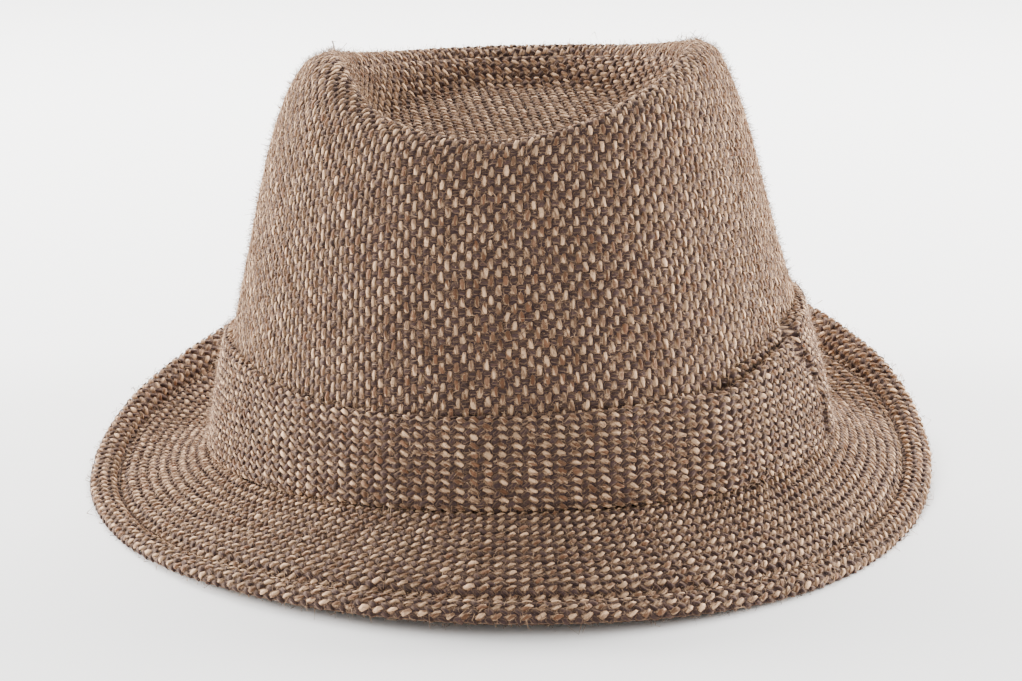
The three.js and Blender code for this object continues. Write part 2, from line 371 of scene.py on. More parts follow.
def brim_skin(angle, turn):
    """The brim's whole face: its top up to 1, round its edge to 2, and its underside to 3."""
    angle, turn = np.broadcast_arrays(np.asarray(angle, float), np.asarray(turn, float))
    reach = brim_reach(angle) - EDGE_ROUND
    out = np.where(turn <= 1, turn, np.where(turn < 2, 1, 3 - turn)) * reach
    top = brim_face(angle, out)
    way = way_out(brim_face, angle, out, REACH_STEP)
    slope = brim_face(angle, out) - brim_face(angle, out + REACH_STEP)
    slope = slope / np.linalg.norm(slope, axis=-1, keepdims=True)
    edge = reach + EDGE_ROUND - out
    groove = bell(edge - STITCH_INSET, STITCH_WIDTH) * STITCH_DEPTH
    puff = EDGE_PUFF * bell(edge - STITCH_INSET / 2, EDGE_PUFF_WIDTH)
    half = BRIM_CLOTH / 2
    bow = np.clip(turn - 1, 0, 1) * np.pi
    # The machine pulls the upper side in, and the under side stays nearly flat.
    groove = groove * mix(1.0, STITCH_DEPTH_UNDER, np.clip(turn - 1, 0, 1))
    swell = (half - groove + puff) * np.cos(bow)
    return top + way * (swell - half)[..., None] + slope * (half * np.sin(bow))[..., None]


def band_over(angle):
    """How far the band has climbed onto its own start, from 0 to 1."""
    t = np.clip((angle - LAP + BAND_CLIMB) / (BAND_CLIMB - ANGLE_STEP), 0, 1)
    return t * t * (3 - 2 * t)


def band_tall(angle):
    return (round_hat("band", angle) - band_over(angle) * BAND_END_LOWER) * BRIM_WIDTH


def band_inside(angle):
    """How far the band's inner face is from the crown side."""
    return GAP + band_over(angle) * (BAND_CLOTH + GAP)


def wall_height(angle):
    return lip_height(angle) - break_rise(angle)


def band_share(turn):
    """The share of the band's height at a place on its face, as band_skin counts them."""
    return np.clip((turn - 0.9) / 1.2, 0, 1)


def band_end(height):
    """The angle where the band ends, at a share of its height."""
    return 360 + along(BAND_END, "height", "angle", np.clip(height, 0, 1))


def short_of_end(angle, height):
    """How far a place on the band is from its slanted end, in millimetres."""
    return (band_end(height) - angle) * np.radians(1) * CROWN_HALF_WIDTH


def past_end(angle, height):
    """How far a place on the band's start is past the end that lies over it."""
    return -short_of_end(angle + 360, height)


def band_skin(angle, turn):
    """The band's outer face, with its lower edge rolled in below 1 and its upper edge above 2."""
    angle, turn = np.broadcast_arrays(np.asarray(angle, float), np.asarray(turn, float))
    tall = band_tall(angle)
    low = np.clip(turn, 0, 1) * np.pi / 2
    high = np.clip(turn - 2, 0, 1) * np.pi / 2
    level = np.clip(turn - 1, 0, 1) * (tall - 2 * BAND_ROUND)
    up = BAND_ROUND * (1 - np.cos(low)) + level + BAND_ROUND * np.sin(high)
    end = np.sin(np.clip(short_of_end(angle, up / tall), BAND_END_LEAST, 1) * np.pi / 2)
    past = past_end(angle, up / tall)
    tuck = LAP_TUCK_DEPTH * bell(np.maximum(past, 0), LAP_TUCK)
    thick = BAND_CLOTH * np.sin(low) * np.cos(high) * end * (1 - tuck)
    # Past the end that lies over it, the band's start swells out as far as that end.
    beyond = np.maximum(past - LAP_PUFF_START, 0)
    swell = LAP_PUFF * np.clip(beyond / LAP_PUFF_RISE, 0, 1) ** 2 * bell(beyond, LAP_PUFF_LENGTH)
    reach = band_inside(angle) + thick + swell * np.sin(low) * np.cos(high)
    return wall_face(angle, up / wall_height(angle)) + outward(angle) * reach[..., None]


class Cut:
    """A piece of cloth as it was cut: where each point of the flat cut lies on the hat.

    shares run over the face from the cut's inner or lower edge. kind is ring for the crown's tip,
    cone for its side, strip for the band, and loop for the brim's two strips, whose ends are joined
    and which are measured in from their outer edge. measured is the share where a strip is as long
    on the hat as it was flat.
    """

    def __init__(self, kind, face, step, shares, measured=0.0, angles=(-180, 180)):
        self.kind, self.face, self.step = kind, face, step
        self.shares = np.linspace(*shares, SHARE_SAMPLES)
        self.angles = np.linspace(*angles, ANGLE_SAMPLES)
        points = face(self.angles[:, None], self.shares[None, :])
        steps = np.linalg.norm(np.diff(points, axis=1), axis=2)
        self.run = np.cumsum(np.concatenate([np.zeros((len(steps), 1)), steps], 1), 1)
        self.total = self.run[:, -1]
        self.fractions = np.linspace(0, 1, LENGTH_SAMPLES)
        self.back = np.stack([np.interp(self.fractions * r[-1], r, self.shares) for r in self.run])
        line = face(self.angles, np.full(len(self.angles), measured))
        ways = np.linalg.norm(np.diff(line, axis=0), axis=1)
        self.round = np.concatenate([[0], np.cumsum(ways)])
        if kind == "cone":
            self.round -= np.interp(0, self.angles, self.round)

    def read(self, table, columns, angle, at):
        """A value of a table that has a row for each angle, read between its rows and columns."""
        a = (angle - self.angles[0]) / (self.angles[1] - self.angles[0])
        a = np.clip(a, 0, len(self.angles) - 1.001)
        b = (at - columns[0]) / (columns[1] - columns[0])
        b = np.clip(b, 0, len(columns) - 1.001)
        i, j = a.astype(int), b.astype(int)
        a, b = a - i, b - j
        before = mix(table[i, j], table[i + 1, j], a)
        after = mix(table[i, j + 1], table[i + 1, j + 1], a)
        return mix(before, after, b)

    def place(self, x, y):
        """The angle and the share of the face at a point of the flat cut, and how far it is inside.
        The cone's warps and wefts lie as on two rings, so its points are found step by step."""
        side = np.full(np.shape(x), np.inf)
        if self.kind == "ring":
            angle, length = np.degrees(np.arctan2(x, -y)), np.hypot(x, y)
        elif self.kind == "cone":
            length = y
            for _ in range(12):
                lean = np.arcsin(np.clip(x / (WARP_RADIUS - length), -0.5, 0.5))
                arc = lean * WARP_RADIUS
                length = WEFT_RADIUS - (WEFT_RADIUS - y) / np.cos(arc / WEFT_RADIUS)
                length = np.clip(length, -CROWN_HEIGHT, 2 * CROWN_HEIGHT)
            angle = np.interp(arc, self.round, self.angles)
            side = self.round[-1] - np.abs(arc)
        elif self.kind == "strip":
            angle, length = np.interp(x, self.round, self.angles), y
            side = np.minimum(x, self.round[-1] - x)
        else:
            angle = np.interp(np.mod(x, self.round[-1]), self.round, self.angles)
            length = y + np.interp(angle, self.angles, self.total)
        total = np.interp(angle, self.angles, self.total)
        inside = np.minimum(np.minimum(length, total - length), side)
        share = self.read(self.back, self.fractions, angle, length / total)
        return angle, share, inside

    def flat(self, angle, share, radii=(WARP_RADIUS, WEFT_RADIUS)):
        """The point of the flat cut that lies at an angle and a share of the face."""
        length = self.read(self.run, self.shares, angle, share)
        arc = np.interp(angle, self.angles, self.round)
        if self.kind == "ring":
            theta = np.radians(angle)
            return length * np.sin(theta), -length * np.cos(theta)
        if self.kind == "cone":
            warp, weft = radii
            return (warp - length) * np.sin(arc / warp), weft - (weft - length) * np.cos(arc / weft)
        if self.kind == "loop":
            length = length - np.interp(angle, self.angles, self.total)
        return arc, length

    def size(self):
        """The width, length and area of the flat cut."""
        angle, share = np.meshgrid(self.angles, [self.shares[0], self.shares[-1]])
        x, y = self.flat(angle, share, (CROWN_CUT_RADIUS, CROWN_CUT_RADIUS))
        x, y = (np.concatenate([edge[0], edge[1][::-1]]) for edge in (x, y))
        area = abs((x * (np.roll(y, -1) - np.roll(y, 1))).sum()) / 2
        return np.ptp(x) * MM, np.ptp(y) * MM, area * MM * MM


# The brim's upper strip starts under the band, and meets the lower one just under the edge.
BRIM_START = -0.06
BRIM_MEET = 1.8
BAND_ANGLES = (BAND_START, 360 + BAND_END["angle"][0])
CUTS = {
    "crown_side": Cut("cone", crown_skin, SHARE_STEP, (-1, SEAM_INSET - SEAM_OPEN), -1.0),
    "crown_tip": Cut("ring", crown_skin, SHARE_STEP, (1, SEAM_INSET + SEAM_OPEN)),
    "brim_top": Cut("loop", brim_skin, SKIN_STEP, (BRIM_START, BRIM_MEET), 0.5),
    "brim_under": Cut("loop", brim_skin, SKIN_STEP, (3, BRIM_MEET), 2.5),
    "hat_band": Cut("strip", band_skin, SHARE_STEP, (0, 3), 1.5, BAND_ANGLES),
}


def straight(warp_degrees, weft_degrees):
    """The steps along the warp and the weft, which lie at these angles on the cut."""
    steps = []
    for length, degrees in ((WEFT_PITCH, warp_degrees), (WARP_PITCH, weft_degrees)):
        turn = math.radians(degrees)
        steps.append(length * np.array([math.cos(turn), math.sin(turn)]))
    return tuple(steps)


def bias(across, up):
    """The steps along the warp and the weft of a bias strip. Its light floats stand in rows: across
    is from one to the next in a row, and up is from row to row."""
    return np.array([across / 2, -up / 2]), np.array([across / 2, up / 2])


def closed_bias(key, across, up):
    """A bias strip round the hat, with a whole number of floats in each row."""
    length = CUTS[key].round[-1]
    return bias(length / round(length / across), up)


# How the cloth's grain lies on each cut: the step along the light warp from one weft to the next,
# and the step along the dark weft from one warp to the next. The crown's side and tip are cut on
# straight grain. The band and the brim are bias strips, which steaming pulled into shape.
GRAIN = {
    "crown_side": straight(90, 3),
    "crown_tip": straight(133, 51),
    "brim_top": closed_bias("brim_top", 3.3, 3.0),
    "brim_under": closed_bias("brim_under", 3.3, 3.0)[::-1],
    "hat_band": bias(3.79, 2.33),
}


class TrilbyCloth(bpy.types.PropertyGroup):
    """Sizes of the yarns"""

    warp_width: FloatProperty(
        name="Warp width", description="Width of a light warp yarn where it floats over a weft",
        default=1.24 * MM, min=0.5 * MM, max=2.2 * MM, precision=5, unit="LENGTH",
    )
    weft_width: FloatProperty(
        name="Weft width", description="Width of a dark weft yarn where it floats over a warp",
        default=1.6 * MM, min=0.5 * MM, max=2.4 * MM, precision=5, unit="LENGTH",
    )
    relief: FloatProperty(
        name="Relief", description="How far the floats stand above the middle of the cloth",
        default=0.36 * MM, min=0.1 * MM, max=1.0 * MM, precision=5, unit="LENGTH",
    )
    ply_twist: FloatProperty(
        name="Ply twist",
        description="Length of yarn in which its two plies turn once round each other",
        default=6.5 * MM, min=2 * MM, max=20 * MM, precision=4, unit="LENGTH",
    )
    fuzz: FloatProperty(
        name="Fuzz", description="Loose fibres on each square centimetre",
        default=66.0, min=0.0, max=70.0,
    )
    seed: IntProperty(name="Seed", description="Start of the random numbers", default=7, min=0)


class TrilbyColours(bpy.types.PropertyGroup):
    """Colours of the wool, as sRGB hex values"""

    cream: StringProperty(name="Cream ply", description="The yarn's light ply", default="#c6a280")
    tan: StringProperty(name="Tan ply", description="The yarn's darker ply", default="#7c614c")
    rust: StringProperty(name="Rust ply", description="The darker ply's tinge", default="#664633")
    brown: StringProperty(name="Weft", description="The dark weft yarn", default="#3b2e2e")
    deep: StringProperty(name="Deep weft", description="The darkest of the weft", default="#3b2e2e")
    thread: StringProperty(name="Thread", description="The brim's sewing thread", default="#2b1e18")
    paper: StringProperty(name="Floor", description="Paper under the hat", default="#fbfaf8")


class TrilbyStage(bpy.types.PropertyGroup):
    """The floor and the lights"""

    top_light: FloatProperty(
        name="Top light", description="Power of the soft light over the hat and behind it",
        default=30.0, min=0.0, unit="POWER",
    )
    left_light: FloatProperty(
        name="Left light", description="Power of the low light behind the hat, left in the picture",
        default=54.0, min=0.0, unit="POWER",
    )
    right_light: FloatProperty(
        name="Right light",
        description="Power of the low light behind the hat, right in the picture",
        default=54.0, min=0.0, unit="POWER",
    )
    sky: FloatProperty(
        name="Sky", description="Strength of the white surroundings", default=1.45, min=0.0
    )


def linear(hex_colour):
    """An sRGB hex value as a linear colour."""
    parts = [int(hex_colour[i : i + 2], 16) / 255 for i in (1, 3, 5)]
    return [*(c / 12.92 if c <= 0.04045 else ((c + 0.055) / 1.055) ** 2.4 for c in parts), 1.0]


def add_node(tree, kind, inputs=None, **settings):
    """Adds a shader node with its settings, and gives its inputs their values or links."""
    node = tree.nodes.new("ShaderNode" + kind)
    for name, value in settings.items():
        setattr(node, name, value)
    for name, value in (inputs or {}).items():
        if isinstance(value, bpy.types.NodeSocket):
            tree.links.new(value, node.inputs[name])
        else:
            node.inputs[name].default_value = value
    return node


def new_material(name):
    material = bpy.data.materials.new(name)
    material.use_nodes = True
    material.node_tree.nodes.clear()
    return material, material.node_tree


def finish_material(material, tree, surface):
    """Gives a material its surface, which is a principled shader with these values and links."""
    shader = add_node(tree, "BsdfPrincipled", surface)
    add_node(tree, "OutputMaterial", {"Surface": shader.outputs["BSDF"]})
    return material


def colour_ramp(ramp, colours, places):
    """Sets a ramp to the wool's colours, each at its place, from the darkest to cream."""
    elements = ramp.color_ramp.elements
    for key, place in places[1:-1]:
        elements.new(place).color = linear(getattr(colours, key))
    for element, (key, place) in ((elements[0], places[0]), (elements[-1], places[-1])):
        element.position, element.color = place, linear(getattr(colours, key))


# The sheen of woven wool: a pale edge where its fibres stand off it.
WOOL = {"Sheen Roughness": 0.5, "Sheen Tint": linear("#cfab8c")}

# The mix node has a pair of sockets for each kind of value. These are the ones for colours.
COLOUR_A, COLOUR_B, COLOUR_MIX = 6, 7, 2


def spun_wool(name, light, dark, tinge, stray, sheen):
    """Spun two-ply wool. Its fibres run round the yarn with the twist, so it is matt, with a soft
    sheen where the eye skims it, and a shadow lies between the plies."""
    material, tree = new_material(name)
    marl = add_node(tree, "Attribute", attribute_name="marl")
    yarn = add_node(tree, "Attribute", attribute_name="yarn")
    part = add_node(tree, "SeparateXYZ", {"Vector": marl.outputs["Vector"]})
    phase, tone, shade = (part.outputs[axis] for axis in "XYZ")
    wave = add_node(tree, "Math", {0: phase}, operation="SINE")
    # Fibres are about 0.03 mm thick. They are drawn about 0.25 mm wide, so that they show. Fibres
    # of the other yarn lie across them, because the cloth was milled.
    noises = []
    for turn, scale, roughness in ((28, (4.0, 0.9, 1), 0.65), (-50, (3.6, 1.0, 1), 0.7)):
        place = {"Vector": yarn.outputs["Vector"], "Rotation": (0, 0, math.radians(turn))}
        stretch = add_node(tree, "Mapping", place | {"Scale": scale}).outputs["Vector"]
        noise = {"Vector": stretch, "Scale": 1.0, "Detail": 3.0, "Roughness": roughness}
        noises.append(add_node(tree, "TexNoise", noise).outputs["Fac"])
    fibres, across = noises
    # Some floats show more of one ply than of the other, because the yarn is spun unevenly.
    ragged = add_node(tree, "Math", {0: fibres, 1: 1.6, 2: -0.8}, operation="MULTIPLY_ADD")
    uneven = add_node(
        tree, "Math", {0: tone, 1: -1.4, 2: ragged.outputs[0]}, operation="MULTIPLY_ADD"
    )
    edge = add_node(tree, "Math", {0: wave.outputs[0], 1: uneven.outputs[0]}, operation="ADD")
    choose = add_node(
        tree,
        "MapRange",
        {"Value": edge.outputs[0], "From Min": -1.2, "From Max": -0.2},
        interpolation_type="SMOOTHSTEP",
    )
    over = add_node(
        tree, "MapRange", {"Value": across, "From Min": 0.52, "From Max": 0.72, "To Max": 0.4}
    )
    # Each mix lays a colour over the last one: the tinge, the light ply and the stray fibres.
    colour = dark
    for factor, second in ((tone, tinge), (choose.outputs[0], light), (over.outputs[0], stray)):
        mixed = add_node(
            tree, "Mix", {"Factor": factor, COLOUR_A: colour, COLOUR_B: second}, data_type="RGBA"
        )
        colour = mixed.outputs[COLOUR_MIX]
    # Each float is a little lighter or darker than the next, as its fibres were dyed and spun.
    lighter = add_node(tree, "MapRange", {"Value": shade, "To Min": 0.68, "To Max": 1.3})
    speck = add_node(
        tree,
        "MapRange",
        {"Value": fibres, "From Min": 0.3, "From Max": 0.7, "To Min": 0.72, "To Max": 1.24},
    )
    value = add_node(
        tree, "Math", {0: lighter.outputs[0], 1: speck.outputs[0]}, operation="MULTIPLY"
    )
    tinted = add_node(tree, "VectorMath", {0: colour, "Scale": value.outputs[0]}, operation="SCALE")
    groove = add_node(tree, "Math", {0: wave.outputs[0]}, operation="ABSOLUTE")
    depth = add_node(tree, "Math", {0: groove.outputs[0], 1: 0.5}, operation="POWER")
    height = add_node(
        tree, "Math", {0: fibres, 1: 0.8, 2: depth.outputs[0]}, operation="MULTIPLY_ADD"
    )
    bump = add_node(
        tree, "Bump", {"Height": height.outputs[0], "Strength": 0.55, "Distance": 0.18 * MM}
    )
    surface = {"Base Color": tinted.outputs[0], "Normal": bump.outputs[0], "Sheen Weight": sheen}
    surface |= {"Roughness": 0.9, "Specular IOR Level": 0.1}
    return finish_material(material, tree, WOOL | surface)


def woven_ground(name, colours):
    """The inside of the same wool cloth, in plain weave. Light and dark floats change places in a
    chequer, rounded by their own thickness, and the hollows between them are dark."""
    material, tree = new_material(name)
    grid = add_node(tree, "UVMap", uv_map="Weave").outputs[0]
    wander = add_node(tree, "TexNoise", {"Vector": grid, "Scale": 0.9, "Detail": 2.0})
    moved = add_node(
        tree,
        "VectorMath",
        {0: wander.outputs["Color"], 1: (0.25,) * 3, 2: grid},
        operation="MULTIPLY_ADD",
    )
    part = add_node(tree, "SeparateXYZ", {"Vector": moved.outputs[0]})
    waves = []
    for axis in "XY":
        turn = add_node(tree, "Math", {0: part.outputs[axis], 1: math.pi}, operation="MULTIPLY")
        wave = add_node(tree, "Math", {0: turn.outputs[0]}, operation="COSINE")
        waves.append(wave.outputs[0])
    chequer = add_node(tree, "Math", {0: waves[0], 1: waves[1]}, operation="MULTIPLY")
    fleck = add_node(tree, "TexNoise", {"Vector": grid, "Scale": 7.0, "Detail": 3.0})
    level = add_node(
        tree,
        "Math",
        {0: chequer.outputs[0], 1: 0.42, 2: fleck.outputs["Fac"]},
        operation="MULTIPLY_ADD",
    )
    ramp = add_node(tree, "ValToRGB", {"Fac": level.outputs[0]})
    colour_ramp(ramp, colours, (("deep", 0.35), ("brown", 0.5), ("tan", 0.66), ("cream", 0.85)))
    raised = add_node(tree, "Math", {0: chequer.outputs[0]}, operation="ABSOLUTE")
    bump = add_node(
        tree, "Bump", {"Height": raised.outputs[0], "Strength": 0.8, "Distance": 0.5 * MM}
    )
    surface = {"Base Color": ramp.outputs["Color"], "Normal": bump.outputs[0], "Sheen Weight": 0.5}
    surface |= {"Roughness": 0.95, "Specular IOR Level": 0.15}
    return finish_material(material, tree, WOOL | surface)


def loose_fibre(name, colours):
    """Single wool fibres. They are fine and scatter light, so they read as a pale haze."""
    material, tree = new_material(name)
    marl = add_node(tree, "Attribute", attribute_name="marl")
    part = add_node(tree, "SeparateXYZ", {"Vector": marl.outputs["Vector"]})
    ramp = add_node(tree, "ValToRGB", {"Fac": part.outputs["X"]})
    colour_ramp(ramp, colours, (("brown", 0.0), ("tan", 0.7), ("cream", 1.0)))
    surface = {
        "Base Color": ramp.outputs["Color"],
        "Roughness": 0.8,
        "Specular IOR Level": 0.2,
        "Sheen Weight": 0.4,
        "Sheen Tint": linear("#dcb48c"),
    }
    return finish_material(material, tree, surface)


def matt_paper(name, colours):
    """Rolled paper with a fine grain, which takes no shine and shows only a soft shadow."""
    material, tree = new_material(name)
    grain = add_node(tree, "TexNoise", {"Scale": 900.0, "Detail": 2.0})
    bump = add_node(
        tree, "Bump", {"Height": grain.outputs["Fac"], "Strength": 0.05, "Distance": 0.1 * MM}
    )
    surface = {"Base Color": linear(colours.paper), "Roughness": 0.9, "Normal": bump.outputs[0]}
    return finish_material(material, tree, surface)


# The spun yarns: what each is called, the colours of its light and dark ply, of the darker ply's
# tinge and of its stray fibres, and its sheen.
YARNS = {
    "warp": ("marled wool warp, spun", ("cream", "tan", "rust", "brown"), 0.6),
    "weft": ("brown wool weft, spun", ("brown", "deep", "brown", "rust"), 0.5),
    "thread": ("sewing thread, twisted", ("thread", "thread", "deep", "deep"), 0.2),
}
MATERIALS = {}


def wool(context):
    """The materials of the cloth, made once."""
    if not MATERIALS:
        colours = context.scene.trilby_colours
        for key, (name, plies, sheen) in YARNS.items():
            plies = [linear(getattr(colours, ply)) for ply in plies]
            MATERIALS[key] = spun_wool(name, *plies, sheen)
        MATERIALS["ground"] = woven_ground("wool tweed, plain woven", colours)
        MATERIALS["fibre"] = loose_fibre("loose wool fibre", colours)
    return MATERIALS


NO_TRIANGLES = np.zeros((0, 3), int)


def build_mesh(name, points, quads, tris, material, vectors=None, uvs=None):
    """A mesh object from arrays, in metres. vectors are values kept at its points, and uvs are
    maps with a value for each corner of its faces."""
    mesh = bpy.data.meshes.new(name)
    corners = np.concatenate([quads.ravel(), tris.ravel()]).astype(np.int32)
    starts = np.concatenate(
        [np.arange(len(quads)) * 4, len(quads) * 4 + np.arange(len(tris)) * 3]
    ).astype(np.int32)
    mesh.vertices.add(len(points))
    mesh.vertices.foreach_set("co", (points * MM).astype(np.float32).ravel())
    mesh.loops.add(len(corners))
    mesh.loops.foreach_set("vertex_index", corners)
    mesh.polygons.add(len(starts))
    mesh.polygons.foreach_set("loop_start", starts)
    mesh.polygons.foreach_set("use_smooth", np.ones(len(starts), bool))
    mesh.update(calc_edges=True)
    for key, value in (vectors or {}).items():
        kept = mesh.attributes.new(key, "FLOAT_VECTOR", "POINT")
        kept.data.foreach_set("vector", value.astype(np.float32).ravel())
    for key, value in (uvs or {}).items():
        layer = mesh.uv_layers.new(name=key)
        layer.data.foreach_set("uv", value.astype(np.float32).ravel())
    mesh.materials.append(material)
    piece = bpy.data.objects.new(name, mesh)
    bpy.context.scene.collection.objects.link(piece)
    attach(piece, "root")
    return piece


def laid(cut, x, y, lift):
    """Points of a flat cut, laid on the hat and lifted off its face."""
    angle, share, _ = cut.place(x, y)
    point = cut.face(angle, share)
    way = way_out(cut.face, angle, share, cut.step)
    return settled(point + way * lift[..., None])


# A float is a short closed run of yarn: rings along it between two tips, and corners round it, in
# degrees from its side over its top. Its half length is a share of the yarns' step, its thickness
# of its width, and its arch of the cloth's relief.
FLOATS = {
    "warp": dict(
        rings=(-0.84, 0.0, 0.84), corners=(-20, 50, 130, 200), length=0.59, thick=0.5, arch=1.0
    ),
    "weft": dict(
        rings=(-0.75, 0.0, 0.75), corners=(-10, 90, 190), length=0.58, thick=0.42, arch=0.35
    ),
}

# How blunt a float's ends are, how high the middle of its arch is, and how far apart the fibre
# patterns of two floats may be, in millimetres.
BLUNT = 6
ARCH_TOP = 0.65
WISP_SPREAD = 90

# How unevenly the wool is spun and woven: degrees, millimetres and shares of each size.
UNEVEN = dict(
    heading=6.5, place=0.13, width=0.14, length=0.08, rise=0.12, phase=1.3, end=0.06, side=0.15
)

# Waves that make each yarn thick and thin: a share of its width, and turns from yarn to yarn and
# along the yarn. The twist of a yarn also starts that many radians after the last one's.
SLUBS = ((0.1, 12.9898, 0.37), (0.08, 78.233, -0.9))
PHASE_STEP = 2.399


def float_faces(count, kind):
    """Faces of that many floats, and where each corner lies in its float's own square."""
    shape = FLOATS[kind]
    rings, sides = len(shape["rings"]), len(shape["corners"])
    each = rings * sides + 2
    quads, quad_uv, tris, tri_uv = [], [], [], []
    u = np.concatenate([[0.0], (np.array(shape["rings"]) + 1) / 2, [1.0]])
    for s in range(sides):
        t = (s + 1) % sides
        low, high = s / sides, (s + 1) / sides
        for r in range(rings - 1):
            quads.append([r * sides + s, (r + 1) * sides + s, (r + 1) * sides + t, r * sides + t])
            quad_uv.append([(u[r + 1], low), (u[r + 2], low), (u[r + 2], high), (u[r + 1], high)])
        tris.append([each - 2, s, t])
        tri_uv.append([(0, (low + high) / 2), (u[1], low), (u[1], high)])
        last = (rings - 1) * sides
        tris.append([each - 1, last + t, last + s])
        tri_uv.append([(1, (low + high) / 2), (u[-2], high), (u[-2], low)])
    base = np.arange(count)[:, None, None] * each
    cells = math.ceil(math.sqrt(count))
    cell = np.stack([np.arange(count) % cells, np.arange(count) // cells], -1)[:, None, None, :]
    # Each float has its own square of the bake map, with a margin of 0.08 round it.
    uv = [
        ((cell + 0.08 + 0.84 * np.array(part)) / cells).reshape(-1, 2) for part in (quad_uv, tri_uv)
    ]
    faces = [(base + np.array(part)).reshape(-1, np.shape(part)[1]) for part in (quads, tris)]
    return faces[0], faces[1], np.concatenate(uv)


def lay_floats(name, cut, kind, centre, heading, half, rise, ply, material, rng):
    """Lays floats of yarn on a cut, as one mesh. half holds their half lengths, half widths and
    half thicknesses, rise how far they arch, and ply the phase and the rate of their twist."""
    shape = FLOATS[kind]
    ring, side = (
        a.ravel() for a in np.meshgrid(shape["rings"], np.radians(shape["corners"]), indexing="ij")
    )
    t = np.concatenate([ring, [-1.0, 1.0]])
    c = np.concatenate([np.cos(side), [0.0, 0.0]])
    s = np.concatenate([np.sin(side), [0.0, 0.0]])
    full = np.sqrt(1 - np.abs(t) ** BLUNT)
    half_length, half_width, half_thick = (a[:, None] for a in half)
    # The yarn is spun from uneven wool, so no float has a straight edge.
    length = half_length * (t + rng.normal(0, UNEVEN["end"], (len(centre), len(t))))
    across = half_width * (c * full + rng.normal(0, UNEVEN["side"], (len(centre), len(t))))
    lift = rise[:, None] * (ARCH_TOP - np.abs(t) ** 3) + half_thick * (s * full)
    ax, ay = np.cos(heading)[:, None], np.sin(heading)[:, None]
    x = centre[:, :1] + ax * length - ay * across
    y = centre[:, 1:] + ay * length + ax * across
    points = laid(cut, x, y, lift)
    phase, rate = ply
    turned = phase[:, None] + rate * length + (np.arctan2(s, c) - np.pi / 2)[None, :]
    tone, shade, wisp = (
        np.broadcast_to(rng.random(len(centre))[:, None], turned.shape) for _ in range(3)
    )
    marl = np.stack([turned, tone, shade], -1)
    fibre = np.stack([across, length, wisp * WISP_SPREAD], -1)
    quads, tris, uv = float_faces(len(centre), kind)
    vectors = {"marl": marl.reshape(-1, 3), "yarn": fibre.reshape(-1, 3)}
    return build_mesh(name, points.reshape(-1, 3), quads, tris, material, vectors, {"OFBake": uv})


def crossings(cut, grain, kind, keep):
    """Where the yarns cross on a cut: the numbers of the two yarns, and the place."""
    warp, weft = grain
    # These are enough yarns each way to cover the longest cut.
    reach = np.arange(-240, 241)
    i, j = (a.ravel() for a in np.meshgrid(reach, reach))
    centre = i[:, None] * weft + j[:, None] * warp
    if cut.kind == "loop":
        # The strip's ends are joined, so the place where it ends is also where it starts.
        once = (centre[:, 0] > -0.01) & (centre[:, 0] < cut.round[-1] - 0.01)
        i, j, centre = i[once], j[once], centre[once]
    angle, share, inside = cut.place(centre[:, 0], centre[:, 1])
    near = (inside > 0.1) & keep(angle, share, kind)
    return i[near], j[near], centre[near]


def weave(key, kind, context, keep, rng):
    """The floats of one set of yarns, over the whole of a cut."""
    cut, grain, shape = CUTS[key], GRAIN[key], FLOATS[kind]
    cloth = context.scene.trilby_cloth
    i, j, centre = crossings(cut, grain, kind, keep)
    light = kind == "warp"
    mine = (i + j) % 2 == (0 if light else 1)
    i, j, centre = i[mine], j[mine], centre[mine]
    count = len(i)
    step = grain[0 if light else 1]
    spacing = np.linalg.norm(step)
    row, along_row = (i, j) if light else (j, i)
    # Each yarn is thick and thin along its length, and lies a little off its place.
    waves = [share * np.sin(row * over + along_row * on) for share, over, on in SLUBS]
    slub = sum(waves, start=1)
    heading = math.atan2(step[1], step[0]) + np.radians(rng.normal(0, UNEVEN["heading"], count))
    centre = centre + rng.normal(0, UNEVEN["place"], (count, 2))
    width = (cloth.warp_width if light else cloth.weft_width) / MM
    half_width = width / 2 * slub * rng.normal(1, UNEVEN["width"], count)
    half_length = spacing * shape["length"] * rng.normal(1, UNEVEN["length"], count)
    half_thick = half_width * shape["thick"]
    rise = cloth.relief / MM * shape["arch"] * rng.normal(1, UNEVEN["rise"], count)
    rate = 2 * np.pi / (cloth.ply_twist / MM)
    phase = row * PHASE_STEP + along_row * spacing * rate + rng.normal(0, UNEVEN["phase"], count)
    half, ply, material = (half_length, half_width, half_thick), (phase, rate), wool(context)[kind]
    lay_floats(f"{key}_{kind}", cut, kind, centre, heading, half, rise, ply, material, rng)


